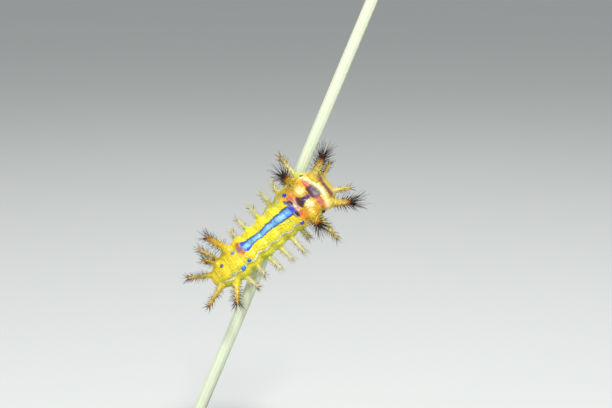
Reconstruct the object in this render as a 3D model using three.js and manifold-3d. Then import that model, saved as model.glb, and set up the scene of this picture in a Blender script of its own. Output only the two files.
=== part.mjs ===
// A slug-moth larva clinging to a short length of green stem, life size, on a small display stand.
// Millimetres, +Z up. The larva's back faces -Y and its head end points to +X and up.
import * as THREE from 'three';
import { mergeVertices } from 'three/addons/utils/BufferGeometryUtils.js';
import Module from 'manifold-3d';

const wasm = await Module();
wasm.setup();

// Driving dimensions of the larva's body
const BODY_LENGTH = 32.9;
const BODY_HEADING = 43.9;
const REAR_POINT = [-19.1, -16.7];
const CENTRE_HEIGHT = [[0, 2.5], [8, 3.0], [15, 3.2], [24, 3.3], [32.9, 2.7]];
const SIDE_BEND = [[0, 0.1], [8, 0.1], [14, 0.2], [22, 0.15], [27, 0.2], [32.9, 0.9]];
const ROLL = [[0, 44], [6, 40], [11, 31], [15.5, 22], [20, 8], [24, 0], [32.9, -4]];
const HALF_WIDTH = [[0, 3.8], [6, 4.1], [12, 3.75], [16, 3.8], [20, 4.0], [25, 4.75], [29, 4.9], [32.9, 4.3]];
const HALF_HEIGHT = [[0, 3.0], [8, 3.2], [16, 3.2], [23, 3.5], [27, 3.4], [32.9, 2.9]];
const END_BLUNTNESS = 6;
const BELLY_FLATTENING = 0.72;
const SIDE_ROUNDNESS = 0.85;
const BACK_ROUNDNESS = 0.9;
const BELLY_ROUNDNESS = 0.6;
const SEGMENT_LENGTH = 3.15;
const SEGMENT_SWELL = 0.035;
const BODY_CUTS = [8.2, 15.4, 22.6];
const RINGS_ALONG = 50;
const POINTS_AROUND = 24;
const DOT_DETAIL = [7, 5];

// Ridges and furrows round the section: angle from the back, spread, share of the radius
const SECTION_FORMS = [[90, 15, 0.05], [42, 13, 0.035], [66, 12, -0.03], [124, 14, -0.06], [158, 16, 0.05]];
// Cross ridge, furrow and paired swellings of the thorax: station, angle, spread along, spread round, height
const THORAX_FORMS = [
  [29.2, 0, 0.7, 60, 0.28],
  [27.4, 0, 0.6, 40, -0.3],
  [26.0, 19, 1.1, 13, 0.5],
  [26.3, -22, 1.1, 13, 0.5],
];
// Hollow in the front edge, between the lower front scoli: depth, side, half width, reach along the body
const FRONT_HOLLOW = { depth: 0.8, side: 0.3, width: 2.6, length: 1.6 };

// Raised dots: station, angle from the back, radius
const DOTS = [
  [23.3, -44, 0.5], [22.1, 48, 0.5], [28.6, -60, 0.38], [27.2, 80, 0.44],
  [7.3, -4, 0.42], [8.9, 49, 0.4], [3.9, 1, 0.45], [6.9, 61, 0.58],
];
const DOT_SINK = 0.35;

// Head and legs
const HEAD = { station: 29.4, drop: 2.5, radii: [1.35, 1.1, 1.25] };
const LEG_STATIONS = [24.4, 26.1, 27.8];
const HEAD_DETAIL = [12, 8];
const JAW = { radii: [0.42, 0.36, 0.4], side: 0.32, ahead: 0.5, drop: 1.0 };
const LEG = { side: 1.3, length: 1.9, radius: 0.38, tip: 0.12, sink: 0.9, splay: 0.35, sides: 6 };

// Scoli, the spiny horns: station, angle from the back, lean towards the head, length, root radius, kind
const SCOLI = {
  scolus_front_left_upper: [30.9, -46, 58, 4.9, 1.0, 'horn'],
  scolus_front_right_upper: [28.9, 60, 45, 5.6, 0.9, 'horn'],
  scolus_front_left_lower: [32.45, -66, 70, 3.2, 0.55, 'front'],
  scolus_front_right_lower: [31.9, 80, 57, 3.4, 0.55, 'front'],
  scolus_second_left_upper: [26.1, -43, -3, 4.8, 0.95, 'horn'],
  scolus_second_right_upper: [24.7, 45, -6, 3.9, 0.95, 'horn'],
  scolus_second_left_lower: [27.6, -91, 8, 5.2, 0.6, 'long'],
  scolus_second_right_lower: [25.6, 90, -6, 5.9, 0.6, 'long'],
  scolus_left_1: [22.7, -92, 13, 2.5, 0.5, 'side'],
  scolus_left_2: [19.8, -88, 7, 3.0, 0.5, 'side'],
  scolus_left_3: [16.2, -88, 4, 3.3, 0.5, 'side'],
  scolus_left_4: [12.8, -88, -4, 3.2, 0.5, 'side'],
  scolus_left_5: [9.7, -90, 6, 2.6, 0.5, 'side'],
  scolus_left_6: [6.6, -88, -8, 3.0, 0.5, 'side'],
  scolus_right_1: [21.0, 93, -3, 2.4, 0.5, 'side'],
  scolus_right_2: [18.3, 88, 0, 4.2, 0.5, 'side'],
  scolus_right_3: [15.2, 93, 4, 3.6, 0.5, 'side'],
  scolus_right_4: [12.2, 94, 2, 3.8, 0.5, 'side'],
  scolus_right_5: [9.2, 90, -3, 2.8, 0.5, 'side'],
  scolus_right_6: [6.0, 96, 7, 3.8, 0.5, 'side'],
  scolus_rear_left_upper: [6.9, -24, -11, 5.8, 0.95, 'horn'],
  scolus_rear_left_lower: [3.7, -62, -14, 4.6, 0.7, 'rear'],
  scolus_tail_left_upper: [3.2, -20, -23, 3.2, 0.6, 'rear'],
  scolus_tail_left_lower: [0.8, -45, -53, 5.0, 0.6, 'rear'],
  scolus_tail_right_lower: [0.9, 80, -68, 5.1, 0.65, 'rear'],
  scolus_rear_right_upper: [3.4, 96, -34, 4.6, 0.85, 'horn'],
};
// Spines of each kind: how many, shortest and longest, tilt at the foot and at the tip of the shaft
const SPINES = {
  horn: { count: 18, lengths: [1.4, 3.2], tilts: [78, 22], tipShare: 0.42 },
  long: { count: 14, lengths: [1.0, 1.9], tilts: [74, 22], tipShare: 0.5 },
  front: { count: 11, lengths: [0.9, 1.6], tilts: [74, 22], tipShare: 0.55 },
  side: { count: 10, lengths: [0.9, 1.5], tilts: [76, 20], tipShare: 0.6 },
  rear: { count: 12, lengths: [1.0, 2.0], tilts: [76, 20], tipShare: 0.5 },
};
const SHAFT_SIDES = 8;
const SHAFT_ROOT = 0.9;
const SHAFT_FOOT_FLARE = 1.1;
const SHAFT_TAPER = 0.8;
const SHAFT_SHOULDERS = [0.5, 0.92];
const SPINE_SIDES = 3;
const SPINE_RADIUS = 0.27;
const SPINE_SPREAD = 137.5;
const SPINE_SPREAD_PLAY = 14;
const SPINE_ZONE = [0.22, 0.98];
const SPINE_SINK = 0.6;
const SPINE_TILT_EASE = 1.6;
const SPINE_LENGTH_PLAY = [0.85, 1.15];
const SPINE_SHORTENING = 0.85;
const SPINE_SHORTEST = 1.4;
const SPINE_CLEARANCE = 0.35;

// The length of stem, and the stand under it
const STEM_RADIUS = 1.25;
const STEM_LEAN = 22.84;
const STEM_CROSSING = [-4.2, 0];
const STEM_BELOW = 50.4;
const STEM_ABOVE = 49.8;
const STEM_SIDES = 18;
const GAP = 0.2;
const STAND_GAP = 0.3;
const LEAN_BACK = 10;
const SPECIMEN_PLACE = [14, 5, 57.4];
const BASE = { length: 64, width: 46, thickness: 4, corner: 7, cornerSteps: 5, chamfer: 0.6 };
const ROD_RADIUS = 1.6;
const ROD_SIDES = 24;

const radians = THREE.MathUtils.degToRad;

// Park-Miller random numbers from a fixed seed
let seed = 4137;
function draw(low, high) {
  seed = (seed * 48271) % 2147483647;
  return low + (high - low) * seed / 2147483647;
}

// Value of a [place, value] table at a place, eased between its rows
function along(table, place) {
  let row = 0;
  while (row < table.length - 2 && place > table[row + 1][0]) row += 1;
  const [from, to] = [table[row], table[row + 1]];
  const share = THREE.MathUtils.smoothstep(place, from[0], to[0]);
  return THREE.MathUtils.lerp(from[1], to[1], share);
}

function bell(offset, spread) {
  return Math.exp(-((offset / spread) ** 2));
}

function frontHollow(station, side) {
  const { depth, side: middle, width, length } = FRONT_HOLLOW;
  return depth * bell(side - middle, width) * bell(station - BODY_LENGTH, length);
}

// Directions of the body at a station: ahead, to the larva's right, and out of its back
function axesAt(station) {
  const heading = radians(BODY_HEADING);
  const ahead = new THREE.Vector3(Math.cos(heading), 0, Math.sin(heading));
  const across = new THREE.Vector3(Math.sin(heading), 0, -Math.cos(heading));
  const outward = new THREE.Vector3(0, -1, 0);
  const roll = radians(along(ROLL, station));
  const right = across.clone().multiplyScalar(Math.cos(roll)).addScaledVector(outward, Math.sin(roll));
  const back = outward.clone().multiplyScalar(Math.cos(roll)).addScaledVector(across, -Math.sin(roll));
  const centre = new THREE.Vector3(REAR_POINT[0], 0, REAR_POINT[1])
    .addScaledVector(ahead, station)
    .addScaledVector(across, along(SIDE_BEND, station))
    .addScaledVector(outward, along(CENTRE_HEIGHT, station));
  return { ahead, right, back, centre };
}

// Point of the skin at a station and an angle from the back, positive to the larva's right
function skinPoint(station, degrees, extra = 0) {
  const angle = radians(degrees);
  const share = 2 * station / BODY_LENGTH - 1;
  const fullness = Math.sqrt(Math.max(0, 1 - share ** END_BLUNTNESS));
  const rings = 1 + SEGMENT_SWELL * Math.cos(2 * Math.PI * station / SEGMENT_LENGTH);
  let swell = rings;
  for (const [place, spread, height] of SECTION_FORMS) {
    swell += height * bell(Math.abs(degrees) - place, spread);
  }
  let lift = 0;
  for (const [place, side, length, width, height] of THORAX_FORMS) {
    lift += height * bell(station - place, length) * bell(degrees - side, width);
  }
  const sine = Math.sin(angle);
  const cosine = Math.cos(angle);
  const side = Math.sign(sine) * Math.abs(sine) ** SIDE_ROUNDNESS;
  const belly = -BELLY_FLATTENING * Math.max(0, -cosine) ** BELLY_ROUNDNESS;
  const height = cosine > 0 ? cosine ** BACK_ROUNDNESS : belly;
  const { ahead, right, back, centre } = axesAt(station);
  const sideReach = side * along(HALF_WIDTH, station) * swell * fullness;
  const reach = new THREE.Vector3()
    .addScaledVector(right, sideReach)
    .addScaledVector(back, height * along(HALF_HEIGHT, station) * swell * fullness)
    .addScaledVector(ahead, -frontHollow(station, sideReach));
  const outwards = new THREE.Vector3().addScaledVector(right, sine).addScaledVector(back, cosine);
  return centre.add(reach).addScaledVector(outwards, extra + lift * fullness);
}

// A closed geometry as a solid, with shared vertices merged
function solidOf(geometry) {
  geometry.deleteAttribute('normal');
  geometry.deleteAttribute('uv');
  const merged = mergeVertices(geometry, 1e-5);
  const mesh = new wasm.Mesh({
    numProp: 3,
    vertProperties: new Float32Array(merged.attributes.position.array),
    triVerts: new Uint32Array(merged.index.array),
  });
  return new wasm.Manifold(mesh);
}

function geometryOf(solid) {
  const mesh = solid.getMesh();
  const geometry = new THREE.BufferGeometry();
  geometry.setAttribute('position', new THREE.BufferAttribute(mesh.vertProperties, 3));
  geometry.setIndex(new THREE.BufferAttribute(mesh.triVerts, 1));
  geometry.computeVertexNormals();
  return geometry;
}

function largest(solid) {
  return solid.decompose().sort((one, other) => other.volume() - one.volume())[0];
}

function join(solids) {
  return solids.reduce((whole, solid) => whole.add(solid));
}

// The middle of the body's front end (1) or rear end (-1)
function endPoint(end, extra) {
  const station = BODY_LENGTH * (1 + end) / 2;
  const { ahead, centre } = axesAt(station);
  return centre.addScaledVector(ahead, end * extra - frontHollow(station, 0));
}

// The body's skin as one closed solid: a ball whose poles become the two ends, bulged out by extra
function bodySolid(extra) {
  const ball = new THREE.SphereGeometry(1, POINTS_AROUND, RINGS_ALONG);
  const position = ball.attributes.position;
  for (let index = 0; index < position.count; index += 1) {
    const [x, y, z] = [position.getX(index), position.getY(index), position.getZ(index)];
    const station = BODY_LENGTH * (1 + y) / 2;
    const degrees = Math.round(THREE.MathUtils.radToDeg(Math.atan2(x, z)) * 1000) / 1000;
    const pole = Math.abs(y) > 0.999999;
    const point = pole ? endPoint(Math.sign(y), extra) : skinPoint(station, degrees, extra);
    position.setXYZ(index, point.x, point.y, point.z);
  }
  return solidOf(ball);
}

// A shape made round the +Y axis, set at a foot and turned to point along a direction
function aimed(geometry, foot, direction) {
  const turn = new THREE.Quaternion().setFromUnitVectors(new THREE.Vector3(0, 1, 0), direction);
  geometry.applyQuaternion(turn);
  geometry.translate(foot.x, foot.y, foot.z);
  return solidOf(geometry);
}

// The straight middle line of a scolus
function shaftLine([station, degrees, lean, length]) {
  const { ahead, right, back } = axesAt(station);
  const angle = radians(degrees);
  const outwards = new THREE.Vector3()
    .addScaledVector(right, Math.sin(angle))
    .addScaledVector(back, Math.cos(angle));
  const direction = outwards.multiplyScalar(Math.cos(radians(lean)))
    .addScaledVector(ahead, Math.sin(radians(lean)))
    .normalize();
  const foot = skinPoint(station, degrees);
  return new THREE.Line3(foot, foot.clone().addScaledVector(direction, length));
}

const shafts = Object.values(SCOLI).map(shaftLine);

// Whether a point lies nearer its own shaft than any other one, by the clearance
function isClear(point, own) {
  const nearest = new THREE.Vector3();
  const distance = (line) => line.closestPointToPoint(point, true, nearest).distanceTo(point);
  const ownDistance = distance(own);
  return shafts.every((line) => line === own || distance(line) > ownDistance + SPINE_CLEARANCE);
}

// One scolus: a tapered shaft with a rounded tip, and spines set round it on a spiral
function scolusSolid([, , , length, radius, kind], line) {
  const direction = line.delta(new THREE.Vector3()).normalize();
  const { count, lengths, tilts, tipShare } = SPINES[kind];
  const widthAt = (share) => radius * THREE.MathUtils.lerp(1, tipShare, share ** SHAFT_TAPER);
  const shoulders = SHAFT_SHOULDERS.map((share) => new THREE.Vector2(widthAt(share), length * share));
  const profile = [
    new THREE.Vector2(0, -SHAFT_ROOT),
    new THREE.Vector2(radius * SHAFT_FOOT_FLARE, -SHAFT_ROOT),
    new THREE.Vector2(radius, 0),
    ...shoulders,
    new THREE.Vector2(0, length),
  ];
  const pieces = [aimed(new THREE.LatheGeometry(profile, SHAFT_SIDES), line.start, direction)];
  const sideways = new THREE.Vector3(0, 0, 1).cross(direction).normalize();
  for (let index = 0; index < count; index += 1) {
    const share = THREE.MathUtils.lerp(...SPINE_ZONE, (index + 0.5) / count);
    const turn = index * SPINE_SPREAD + draw(-SPINE_SPREAD_PLAY, SPINE_SPREAD_PLAY);
    const spoke = sideways.clone().applyAxisAngle(direction, radians(turn));
    const tilt = radians(THREE.MathUtils.lerp(...tilts, share ** SPINE_TILT_EASE));
    const way = direction.clone().multiplyScalar(Math.cos(tilt)).addScaledVector(spoke, Math.sin(tilt));
    const root = line.at(share, new THREE.Vector3()).addScaledVector(spoke, widthAt(share) * SPINE_SINK);
    const shortest = widthAt(share) * SPINE_SHORTEST;
    let reach = THREE.MathUtils.lerp(...lengths, share ** 2) * draw(...SPINE_LENGTH_PLAY) + widthAt(share);
    while (reach > shortest && !isClear(root.clone().addScaledVector(way, reach), line)) {
      reach *= SPINE_SHORTENING;
    }
    if (reach <= shortest) continue;
    const spine = new THREE.ConeGeometry(SPINE_RADIUS, reach, SPINE_SIDES);
    spine.translate(0, reach / 2, 0);
    pieces.push(aimed(spine, root, way));
  }
  return join(pieces);
}

// The stem's middle line, from its cut foot to its cut top
const stemWay = new THREE.Vector3(Math.sin(radians(STEM_LEAN)), 0, Math.cos(radians(STEM_LEAN)));
const stemMiddle = new THREE.Vector3(STEM_CROSSING[0], 0, STEM_CROSSING[1]);
const stemFoot = stemMiddle.clone().addScaledVector(stemWay, -STEM_BELOW);

function stemSolid(extra) {
  const length = STEM_BELOW + STEM_ABOVE;
  const tube = new THREE.CylinderGeometry(STEM_RADIUS + extra, STEM_RADIUS + extra, length, STEM_SIDES);
  tube.translate(0, length / 2, 0);
  return aimed(tube, stemFoot, stemWay);
}

const dotSolids = (extra) => DOTS.map(([station, degrees, radius]) => {
  const ball = new THREE.SphereGeometry(radius + extra, ...DOT_DETAIL);
  const place = skinPoint(station, degrees, -radius * DOT_SINK);
  ball.translate(place.x, place.y, place.z);
  return solidOf(ball);
});
const grownBody = join([bodySolid(GAP), ...dotSolids(GAP)]);
const grownStem = stemSolid(GAP);

function finish(color, roughness, metalness = 0) {
  return new THREE.MeshStandardMaterial({ color, roughness, metalness, flatShading: true });
}

const group = new THREE.Group();
const specimen = new THREE.Group();
specimen.position.set(...SPECIMEN_PLACE);
specimen.rotation.x = -radians(LEAN_BACK);
group.add(specimen);

function addNode(parent, name, solid, material) {
  const mesh = new THREE.Mesh(geometryOf(largest(solid)), material);
  mesh.name = name;
  parent.add(mesh);
}

// Body: one skin with its dots and legs, parted by thin cuts across it
const yellow = finish(0xd8d22a, 0.45);
const legs = LEG_STATIONS.flatMap((station) => [-1, 1].map((side) => {
  const { right, back, centre } = axesAt(station);
  const cone = new THREE.CylinderGeometry(LEG.tip, LEG.radius, LEG.length, LEG.sides);
  cone.translate(0, LEG.length / 2, 0);
  const depth = BELLY_FLATTENING * along(HALF_HEIGHT, station) - LEG.sink;
  const foot = centre.addScaledVector(right, side * LEG.side).addScaledVector(back, -depth);
  const way = right.clone().multiplyScalar(side * LEG.splay).addScaledVector(back, -1).normalize();
  return aimed(cone, foot, way);
}));
const body = join([bodySolid(0), ...dotSolids(0), ...legs]).subtract(grownStem);
const lengths = ['abdomen_rear', 'abdomen_middle', 'abdomen_front', 'thorax'];
const cuts = [-BODY_LENGTH, ...BODY_CUTS, 2 * BODY_LENGTH];
lengths.forEach((name, index) => {
  const { ahead, centre } = axesAt(BODY_LENGTH / 2);
  const level = (station) => centre.dot(ahead) + station - BODY_LENGTH / 2;
  const slice = body
    .trimByPlane(ahead.toArray(), level(cuts[index]) + GAP / 2)
    .trimByPlane(ahead.clone().negate().toArray(), -(level(cuts[index + 1]) - GAP / 2));
  addNode(specimen, name, slice, yellow);
});

// Head: a rounded capsule with two jaws, tucked under the front of the thorax
const headAxes = axesAt(HEAD.station);
const headPlace = headAxes.centre.clone().addScaledVector(headAxes.back, -HEAD.drop);
const headTurn = new THREE.Matrix4().makeBasis(headAxes.right, headAxes.ahead, headAxes.back);
function headPiece(radii, [side, ahead, up]) {
  const ball = new THREE.SphereGeometry(1, ...HEAD_DETAIL);
  ball.scale(...radii);
  ball.translate(side, ahead, up);
  ball.applyMatrix4(headTurn);
  ball.translate(headPlace.x, headPlace.y, headPlace.z);
  return solidOf(ball);
}
const head = join([
  headPiece(HEAD.radii, [0, 0, 0]),
  headPiece(JAW.radii, [JAW.side, JAW.ahead, -JAW.drop]),
  headPiece(JAW.radii, [-JAW.side, JAW.ahead, -JAW.drop]),
]);
addNode(specimen, 'head', head.subtract(grownBody), finish(0x8a6a24, 0.4));

// Scoli, each cut to the skin under it and clear of the stem
const SCOLUS_FINISHES = {
  horn: finish(0xe08a1c, 0.5),
  long: finish(0xd9c940, 0.5),
  front: finish(0xd9c940, 0.5),
  side: finish(0xdfe07a, 0.5),
  rear: finish(0xe0b428, 0.5),
};
Object.entries(SCOLI).forEach(([name, sizes], index) => {
  const solid = scolusSolid(sizes, shafts[index]).subtract(grownBody).subtract(grownStem);
  addNode(specimen, name, solid, SCOLUS_FINISHES[sizes[5]]);
});

// Stem, and the rod in line with its foot, cut level above the base
addNode(specimen, 'stem', stemSolid(0), finish(0xc3d98e, 0.55));
const rodTop = stemFoot.clone().addScaledVector(stemWay, -STAND_GAP);
const rod = new THREE.CylinderGeometry(ROD_RADIUS, ROD_RADIUS, BASE.width, ROD_SIDES);
rod.translate(0, BASE.width / 2, 0);
const upright = new THREE.Vector3(0, -Math.sin(radians(LEAN_BACK)), Math.cos(radians(LEAN_BACK)));
const rodSolid = aimed(rod, rodTop.clone().addScaledVector(stemWay, -BASE.width), stemWay)
  .trimByPlane(upright.toArray(), BASE.thickness + STAND_GAP - SPECIMEN_PLACE[2]);
const metal = finish(0x8f9296, 0.35, 0.9);
addNode(specimen, 'stand_rod', rodSolid, metal);

// Base: a rounded rectangle with a small chamfer, flat underneath
const outline = new THREE.Shape();
const [halfLength, halfWidth] = [BASE.length / 2 - BASE.chamfer, BASE.width / 2 - BASE.chamfer];
const corners = [[1, -1], [1, 1], [-1, 1], [-1, -1]];
corners.forEach(([alongX, alongY], index) => {
  const from = -Math.PI / 2 + index * Math.PI / 2;
  const x = alongX * (halfLength - BASE.corner);
  const y = alongY * (halfWidth - BASE.corner);
  outline.absarc(x, y, BASE.corner, from, from + Math.PI / 2, false);
});
const plate = new THREE.ExtrudeGeometry(outline, {
  depth: BASE.thickness - 2 * BASE.chamfer,
  bevelThickness: BASE.chamfer,
  bevelSize: BASE.chamfer,
  bevelSegments: 1,
  curveSegments: BASE.cornerSteps,
});
plate.translate(0, 0, BASE.chamfer);
const base = new THREE.Mesh(plate, finish(0x2b2b2d, 0.5));
base.name = 'stand_base';
group.add(base);

export default group;
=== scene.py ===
"""Looks of a life-size slug-moth larva that clings to a length of green stem on a display stand."""
import math

import bpy
import numpy as np
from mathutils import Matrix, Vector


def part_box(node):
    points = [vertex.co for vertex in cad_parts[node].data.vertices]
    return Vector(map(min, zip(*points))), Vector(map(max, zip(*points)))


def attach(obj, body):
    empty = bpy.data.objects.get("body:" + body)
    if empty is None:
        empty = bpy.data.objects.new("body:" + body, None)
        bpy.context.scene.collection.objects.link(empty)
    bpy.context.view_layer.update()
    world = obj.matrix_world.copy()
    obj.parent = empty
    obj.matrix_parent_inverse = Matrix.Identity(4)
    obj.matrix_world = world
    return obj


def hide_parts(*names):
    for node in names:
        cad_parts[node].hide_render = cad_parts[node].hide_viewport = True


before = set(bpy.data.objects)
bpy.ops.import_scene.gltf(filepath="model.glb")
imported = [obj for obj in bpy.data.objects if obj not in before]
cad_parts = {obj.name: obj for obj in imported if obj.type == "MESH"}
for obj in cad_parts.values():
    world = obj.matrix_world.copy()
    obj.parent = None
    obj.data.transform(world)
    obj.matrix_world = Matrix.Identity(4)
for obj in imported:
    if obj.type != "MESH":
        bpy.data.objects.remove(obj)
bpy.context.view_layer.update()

# The specimen's own frame: the stem leans over in a plane that is tipped back from the upright. Everything on
# it is placed in millimetres in that frame: x to the right, y away from the viewer, z up. The stem's middle,
# as packed, says where the frame stands.
MM = 0.001
LEAN_BACK = math.radians(10)
STEM_LEAN = math.radians(22.84)
STEM_CROSSING = np.array([-4.2, 0.0, 0.0])
STEM_BELOW = 50.4
STEM_ABOVE = 49.8
STEM_RADIUS = 1.25
STEM_WAY = np.array([math.sin(STEM_LEAN), 0.0, math.cos(STEM_LEAN)])


def tipped(points):
    """Turns specimen-frame vectors about X by the lean: y' = y cos + z sin, z' = z cos - y sin."""
    x, y, z = np.moveaxis(np.asarray(points, float), -1, 0)
    cosine, sine = math.cos(LEAN_BACK), math.sin(LEAN_BACK)
    return np.stack([x, y * cosine + z * sine, z * cosine - y * sine], axis=-1)


stem_low, stem_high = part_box("stem")
stem_middle = STEM_CROSSING + STEM_WAY * (STEM_ABOVE - STEM_BELOW) / 2
SPECIMEN_PLACE = np.array((stem_low + stem_high) / 2) / MM - tipped(stem_middle)


def placed(points):
    """Specimen-frame millimetres to row-frame metres: tipped, then moved to the specimen's place."""
    return (tipped(points) + SPECIMEN_PLACE) * MM


# Camera: a long lens square to the specimen's own plane, at the distance where the frame is 128.5 mm wide.
# The photograph's frame is 612 by 408.
CAMERA_LENS = 100.0
CAMERA_SENSOR = 36.0
FRAME_WIDTH = 0.1285
camera_data = bpy.data.cameras.new("camera")
camera_data.type = "PERSP"
camera_data.lens = CAMERA_LENS
camera_data.sensor_width = CAMERA_SENSOR
camera_data.clip_start = 0.01
camera_data.clip_end = 50.0
camera = bpy.data.objects.new("camera", camera_data)
camera_distance = FRAME_WIDTH * CAMERA_LENS / CAMERA_SENSOR
camera.location = placed([0.0, -camera_distance / MM, 0.0])
camera.rotation_euler = (math.pi / 2 - LEAN_BACK, 0.0, 0.0)
bpy.context.scene.collection.objects.link(camera)
bpy.context.scene.camera = camera

# Body: one soft, moist skin from head hood to tail, nearly round in section, with a flat creeping sole. It
# has a blue stripe down the back, purple and maroon saddle marks and two swellings on the thorax, and a wavy
# pale line on each flank. It turns over to its left towards the rear, where it wraps round the stem.
BODY_LENGTH = 32.9
BODY_HEADING = math.radians(43.9)
REAR_POINT = np.array([-19.1, 0.0, -16.7])
# Tables of stations and values along the body, in millimetres, and in degrees for the roll
CENTRE_HEIGHT = [[0, 2.5], [8, 3.0], [15, 3.2], [24, 3.3], [32.9, 2.7]]
SIDE_BEND = [[0, 0.1], [8, 0.1], [14, 0.2], [22, 0.15], [27, 0.2], [32.9, 0.9]]
ROLL = [[0, 44], [6, 40], [11, 31], [15.5, 22], [20, 8], [24, 0], [32.9, -4]]
HALF_WIDTH = [[0, 3.8], [6, 4.1], [12, 3.75], [16, 3.8], [20, 4.0], [25, 4.75], [29, 4.9], [32.9, 4.3]]
HALF_HEIGHT = [[0, 3.0], [8, 3.2], [16, 3.2], [23, 3.5], [27, 3.4], [32.9, 2.9]]
END_BLUNTNESS = 6
BELLY_FLATTENING = 0.72
# Powers that round the section at the side, over the back and under the belly
SIDE_ROUNDNESS, BACK_ROUNDNESS, BELLY_ROUNDNESS = 0.85, 0.9, 0.6
SEGMENT_LENGTH = 3.15
SEGMENT_SWELL = 0.035
# Ridges and hollows along the flanks: degrees from the back, spread, height as a share
SECTION_FORMS = [[90, 15, 0.05], [42, 13, 0.035], [66, 12, -0.03], [124, 14, -0.06], [158, 16, 0.05]]
# Swellings and furrows of the thorax: station, degrees, half length, half width in degrees, height
THORAX_FORMS = [
    [29.2, 0, 0.7, 60, 0.28],
    [27.4, 0, 0.6, 40, -0.3],
    [26.0, 19, 1.1, 13, 0.5],
    [26.3, -22, 1.1, 13, 0.5],
]
# Depth, side, half width and reach of the hollow in the front edge
FRONT_HOLLOW = (0.8, 0.3, 2.6, 1.6)
STEM_CLEARANCE = 0.08
MM_PER_DEGREE = 0.074
RINGS_ALONG = 360
POINTS_AROUND = 270
BACK_DENSITY = 0.35
AHEAD = np.array([math.cos(BODY_HEADING), 0.0, math.sin(BODY_HEADING)])
ACROSS = np.array([math.sin(BODY_HEADING), 0.0, -math.cos(BODY_HEADING)])
OUTWARD = np.array([0.0, -1.0, 0.0])


def eased(table, place):
    """Value of a [place, value] table, eased between its rows by 3t^2 - 2t^3."""
    places, values = np.array(table, float).T
    row = np.clip(np.searchsorted(places, place, side="left") - 1, 0, len(places) - 2)
    share = np.clip((place - places[row]) / (places[row + 1] - places[row]), 0, 1)
    return values[row] + (values[row + 1] - values[row]) * share**2 * (3 - 2 * share)


def bell(offset, spread):
    """A smooth bump, exp(-(offset / spread)^2)."""
    return np.exp(-((offset / spread) ** 2))


def front_hollow(station, side):
    """How far the front edge is drawn back: a bump across the body, fading rearwards."""
    depth, middle, width, length = FRONT_HOLLOW
    return depth * bell(side - middle, width) * bell(station - BODY_LENGTH, length)


def edge(value, width):
    """1 where a signed distance is inside (negative), 0 outside, over a soft edge of a given width."""
    return np.clip(0.5 - value / width, 0, 1)


def axes_at(station):
    """The body's centre at each station, and the ways to its right and out of its back, after the roll."""
    station = np.asarray(station, float)
    roll = np.radians(eased(ROLL, station))[..., None]
    right = ACROSS * np.cos(roll) + OUTWARD * np.sin(roll)
    back = OUTWARD * np.cos(roll) - ACROSS * np.sin(roll)
    centre = REAR_POINT + AHEAD * station[..., None]
    centre = centre + ACROSS * eased(SIDE_BEND, station)[..., None]
    centre = centre + OUTWARD * eased(CENTRE_HEIGHT, station)[..., None]
    return centre, right, back


def skin_point(station, degrees, extra=0.0):
    """Skin at stations and angles from the back, positive to the larva's right.

    The section is side = W |sin|^0.85 and up = H |cos|^0.9 above the middle, flattened below, times the ring
    swell and the section's ridges, and shrunk at the ends by sqrt(1 - share^6). The thorax adds its forms.
    """
    station, degrees = np.broadcast_arrays(np.asarray(station, float), np.asarray(degrees, float))
    angle = np.radians(degrees)
    share = 2 * station / BODY_LENGTH - 1
    fullness = np.sqrt(np.clip(1 - share**END_BLUNTNESS, 0, None))
    swell = 1 + SEGMENT_SWELL * np.cos(2 * np.pi * station / SEGMENT_LENGTH)
    for place, spread, height in SECTION_FORMS:
        swell = swell + height * bell(np.abs(degrees) - place, spread)
    lift = np.zeros_like(station)
    for place, side, length, width, height in THORAX_FORMS:
        lift = lift + height * bell(station - place, length) * bell(degrees - side, width)
    sine, cosine = np.sin(angle), np.cos(angle)
    above = np.clip(cosine, 0, None) ** BACK_ROUNDNESS
    below = -BELLY_FLATTENING * np.clip(-cosine, 0, None) ** BELLY_ROUNDNESS
    side = np.sign(sine) * np.abs(sine) ** SIDE_ROUNDNESS * eased(HALF_WIDTH, station) * swell * fullness
    height = (above + below) * eased(HALF_HEIGHT, station) * swell * fullness
    centre, right, back = axes_at(station)
    outwards = right * sine[..., None] + back * cosine[..., None]
    point = centre + right * side[..., None] + back * height[..., None]
    point = point - AHEAD * front_hollow(station, side)[..., None]
    return point + outwards * (extra + lift * fullness)[..., None]


# Furrow between segments: depth, share of a segment, and how far and how fast its depth wavers round the body
FURROW = (0.10, 0.075, 0.25, 3.1)
# Cross wrinkles: height, pitch, and how far and how fast they sway round the body
WRINKLES = (0.025, 0.52, 0.8, 1.7)
# Granules: height, finest and coarsest pitch, how many waves
GRANULES = (0.034, 0.34, 1.1, 18)
GRANULE_SEED = 7
# Degrees from the back where the relief fades out beside the sole, and over how many
RELIEF_END = (135, 40)


def skin_relief(station, degrees):
    """Height of the skin's fine relief: furrows between segments, cross wrinkles and summed sine waves."""
    across = degrees * MM_PER_DEGREE
    fold = np.mod(station / SEGMENT_LENGTH, 1) - 0.5
    depth, spread, waver, pace = FURROW
    relief = -depth * bell(fold, spread) * (1 - waver + waver * np.cos(across * pace))
    height, pitch, sway, pace = WRINKLES
    relief = relief + height * np.cos(2 * np.pi * station / pitch + sway * np.sin(across * pace))
    height, finest, coarsest, count = GRANULES
    draws = np.random.default_rng(GRANULE_SEED)
    waves = np.zeros_like(station)
    for pitch in np.geomspace(finest, coarsest, count):
        slant, phase = draws.uniform(0, np.pi), draws.uniform(0, 2 * np.pi)
        waves = waves + np.sin(2 * np.pi * (station * np.cos(slant) + across * np.sin(slant)) / pitch + phase)
    relief = relief + height * waves * math.sqrt(2 / count)
    return relief * edge(np.abs(degrees) - RELIEF_END[0], RELIEF_END[1])


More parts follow.
